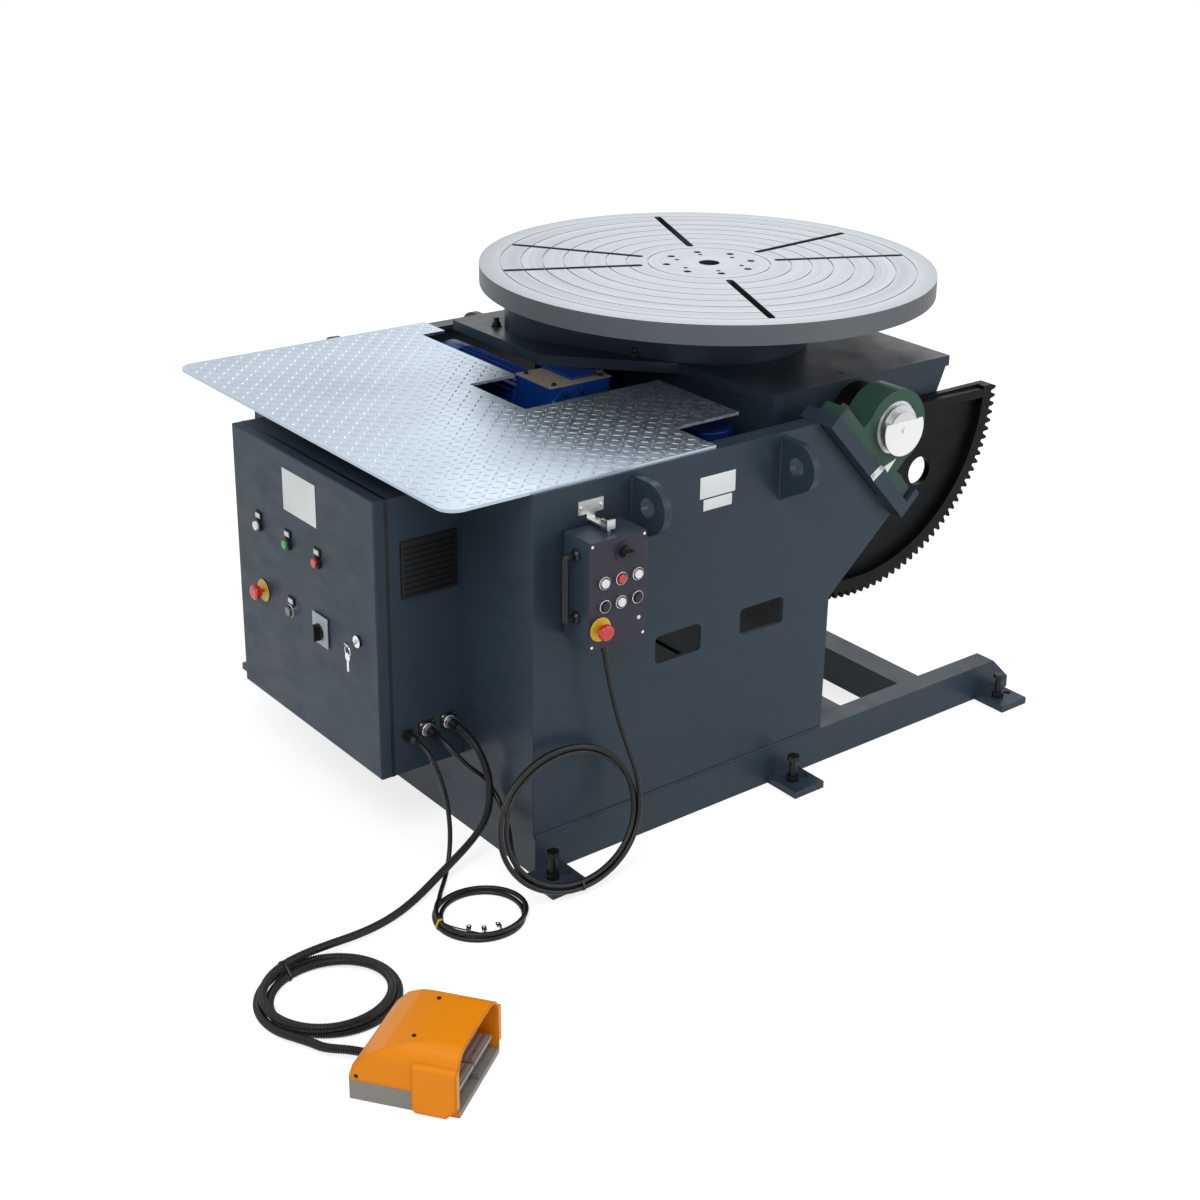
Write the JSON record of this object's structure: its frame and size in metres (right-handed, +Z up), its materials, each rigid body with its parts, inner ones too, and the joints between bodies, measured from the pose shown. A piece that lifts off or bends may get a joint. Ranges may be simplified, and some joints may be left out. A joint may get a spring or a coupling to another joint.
{
  "type": "welding positioner",
  "caption": "Floor-standing welding positioner: a slotted turntable on a head that a gear sector tilts, with control cabinet, hand pendant and foot switch.",
  "frame": {"origin": "centre of the four corner anchor holes, at floor level", "axes": "+Z up, +X towards the open front that the table tilts into, -Y the side with the gear sector"},
  "size_m": [2.577, 2.1416, 1.266],
  "materials": {
    "body_paint": "semi-gloss dark blue-grey enamel",
    "black_steel": "blackened steel",
    "bearing_green": "green machinery enamel on cast iron",
    "drive_blue": "blue machinery enamel",
    "galvanised_tread": "galvanised tear-drop tread plate",
    "turned_steel": "turned steel with fine rings",
    "ground_steel": "ground steel",
    "black_bolts": "blackened fasteners",
    "scale_plate": "etched aluminium",
    "connector_chrome": "plated connectors",
    "plastic_black": "moulded black plastic",
    "plastic_grey": "moulded grey plastic",
    "cap_white": "white lamp lens",
    "cap_green": "green lens",
    "cap_red": "red plastic",
    "pedal_orange": "orange enamel",
    "pedal_grey": "grey cast housing",
    "pedal_tread": "grey ribbed treads",
    "cable_black": "black rubber sheath",
    "conduit_black": "corrugated conduit"
  },
  "bodies": {
    "root": {"base_frame": "body_paint", "hex_bolts": "black_bolts", "side_plates": "body_paint", "body_walls": "body_paint", "support_plates": "body_paint", "lifting_lugs": "body_paint", "deck_plate": "galvanised_tread", "cabinet_body": "body_paint", "cabinet_fittings": "connector_chrome", "control_gear": "plastic_grey", "bearing_housings": "bearing_green", "angle_pointer": "ground_steel", "tilt_gearbox": "drive_blue", "tilt_motor": "drive_blue", "pendant_box": "body_paint", "pendant_panel": "body_paint", "pendant_handles": "plastic_black", "pendant_bracket": "body_paint", "pedal_base": "pedal_grey", "pedal_guard": "pedal_orange", "pedal_pin": "ground_steel", "power_cable": "cable_black", "power_coil": "cable_black", "foot_conduit": "conduit_black", "foot_coil": "conduit_black", "pendant_cable": "cable_black", "pendant_coil": "cable_black", "cable_ends": "connector_chrome"},
    "head": {"head_frame": "body_paint", "trunnion_shafts": "ground_steel", "bearing_inner_rings": "ground_steel", "gear_sector": "black_steel", "angle_dial": "scale_plate", "slewing_inner_ring": "ground_steel", "ring_guard": "body_paint", "rotation_gearbox": "drive_blue", "rotation_motor": "drive_blue"},
    "table": {"turntable": "turned_steel", "slewing_gear_ring": "ground_steel"},
    "tilt_pinion": {"tilt_pinion": "ground_steel"},
    "rotation_pinion": {"rotation_pinion": "ground_steel"},
    "cabinet_door": {"cabinet_door": "body_paint", "door_bezels": "connector_chrome"},
    "isolator_knob": {"isolator_knob": "plastic_black"},
    "door_key": {"door_key": "ground_steel"},
    "button_white": {"button_white": "cap_white"},
    "button_green": {"button_green": "cap_green"},
    "button_red": {"button_red": "cap_red"},
    "button_reset": {"button_reset": "cap_green"},
    "door_estop": {"door_estop": "cap_red"},
    "pendant_knob": {"pendant_knob": "plastic_black"},
    "pendant_button_1": {"pendant_button_1": "cap_white"},
    "pendant_button_2": {"pendant_button_2": "cap_red"},
    "pendant_button_3": {"pendant_button_3": "cap_white"},
    "pendant_button_4": {"pendant_button_4": "plastic_black"},
    "pendant_button_5": {"pendant_button_5": "cap_white"},
    "pendant_button_6": {"pendant_button_6": "plastic_black"},
    "pendant_estop": {"pendant_estop": "cap_red"},
    "pedal_left": {"pedal_left": "pedal_tread"},
    "pedal_right": {"pedal_right": "pedal_tread"}
  },
  "joints": [
    {"name": "tilt", "type": "hinge", "parent": "root", "child": "head", "pos_m": [0.296, 0, 0.952], "axis": [0, 1, 0], "range_deg": [0, 120]},
    {"name": "table_rotation", "type": "hinge", "parent": "head", "child": "table", "pos_m": [0.219, 0, 1.2], "axis": [0, 0, 1], "continuous": true},
    {"name": "tilt_pinion_spin", "type": "hinge", "parent": "root", "child": "tilt_pinion", "pos_m": [-0.20604, -0.56, 0.63829], "axis": [0, 1, 0], "range_deg": [-870, 4]},
    {"name": "rotation_pinion_spin", "type": "hinge", "parent": "head", "child": "rotation_pinion", "pos_m": [0.001, 0.2232, 1.15], "axis": [0, 0, 1], "continuous": true},
    {"name": "door_hinge", "type": "hinge", "parent": "root", "child": "cabinet_door", "pos_m": [-1.073, 0.34, 0.58], "axis": [0, 0, -1], "range_deg": [0, 115]},
    {"name": "isolator_knob_turn", "type": "hinge", "parent": "cabinet_door", "child": "isolator_knob", "pos_m": [-1.12, -0.102, 0.519], "axis": [1, 0, 0], "range_deg": [0, 90]},
    {"name": "door_key_turn", "type": "hinge", "parent": "cabinet_door", "child": "door_key", "pos_m": [-1.12, -0.281, 0.558], "axis": [1, 0, 0], "range_deg": [0, 90]},
    {"name": "button_white_press", "type": "slide", "parent": "cabinet_door", "child": "button_white", "axis": [1, 0, 0], "range_m": [0, 0.004], "stiffness_N_per_m": 400, "springref_m": -0.004},
    {"name": "button_green_press", "type": "slide", "parent": "cabinet_door", "child": "button_green", "axis": [1, 0, 0], "range_m": [0, 0.004], "stiffness_N_per_m": 400, "springref_m": -0.004},
    {"name": "button_red_press", "type": "slide", "parent": "cabinet_door", "child": "button_red", "axis": [1, 0, 0], "range_m": [0, 0.004], "stiffness_N_per_m": 400, "springref_m": -0.004},
    {"name": "button_reset_press", "type": "slide", "parent": "cabinet_door", "child": "button_reset", "axis": [1, 0, 0], "range_m": [0, 0.004], "stiffness_N_per_m": 400, "springref_m": -0.004},
    {"name": "door_estop_press", "type": "slide", "parent": "cabinet_door", "child": "door_estop", "axis": [1, 0, 0], "range_m": [0, 0.004], "stiffness_N_per_m": 400, "springref_m": -0.004},
    {"name": "pendant_knob_turn", "type": "hinge", "parent": "root", "child": "pendant_knob", "pos_m": [-0.688, -0.8, 0.864], "axis": [0, 1, 0], "range_deg": [-135, 135]},
    {"name": "pendant_button_1_press", "type": "slide", "parent": "root", "child": "pendant_button_1", "axis": [0, 1, 0], "range_m": [0, 0.003], "stiffness_N_per_m": 400, "springref_m": -0.004},
    {"name": "pendant_button_2_press", "type": "slide", "parent": "root", "child": "pendant_button_2", "axis": [0, 1, 0], "range_m": [0, 0.003], "stiffness_N_per_m": 400, "springref_m": -0.004},
    {"name": "pendant_button_3_press", "type": "slide", "parent": "root", "child": "pendant_button_3", "axis": [0, 1, 0], "range_m": [0, 0.003], "stiffness_N_per_m": 400, "springref_m": -0.004},
    {"name": "pendant_button_4_press", "type": "slide", "parent": "root", "child": "pendant_button_4", "axis": [0, 1, 0], "range_m": [0, 0.003], "stiffness_N_per_m": 400, "springref_m": -0.004},
    {"name": "pendant_button_5_press", "type": "slide", "parent": "root", "child": "pendant_button_5", "axis": [0, 1, 0], "range_m": [0, 0.003], "stiffness_N_per_m": 400, "springref_m": -0.004},
    {"name": "pendant_button_6_press", "type": "slide", "parent": "root", "child": "pendant_button_6", "axis": [0, 1, 0], "range_m": [0, 0.003], "stiffness_N_per_m": 400, "springref_m": -0.004},
    {"name": "pendant_estop_press", "type": "slide", "parent": "root", "child": "pendant_estop", "axis": [0, 1, 0], "range_m": [0, 0.003], "stiffness_N_per_m": 400, "springref_m": -0.004},
    {"name": "pedal_left_press", "type": "hinge", "parent": "root", "child": "pedal_left", "pos_m": [-1.51668, -1.12704, 0.03], "axis": [0.8192, 0.5736, 0], "range_deg": [0, 8], "stiffness_Nm_per_rad": 25, "springref_deg": -6.88},
    {"name": "pedal_right_press", "type": "hinge", "parent": "root", "child": "pedal_right", "pos_m": [-1.51668, -1.12704, 0.03], "axis": [0.8192, 0.5736, 0], "range_deg": [0, 8], "stiffness_Nm_per_rad": 25, "springref_deg": -6.88}
  ],
  "couplings": [
    {"joint": "tilt_pinion_spin", "follows": "tilt", "ratio": -7.2222},
    {"joint": "rotation_pinion_spin", "follows": "table_rotation", "ratio": -4.2}
  ]
}
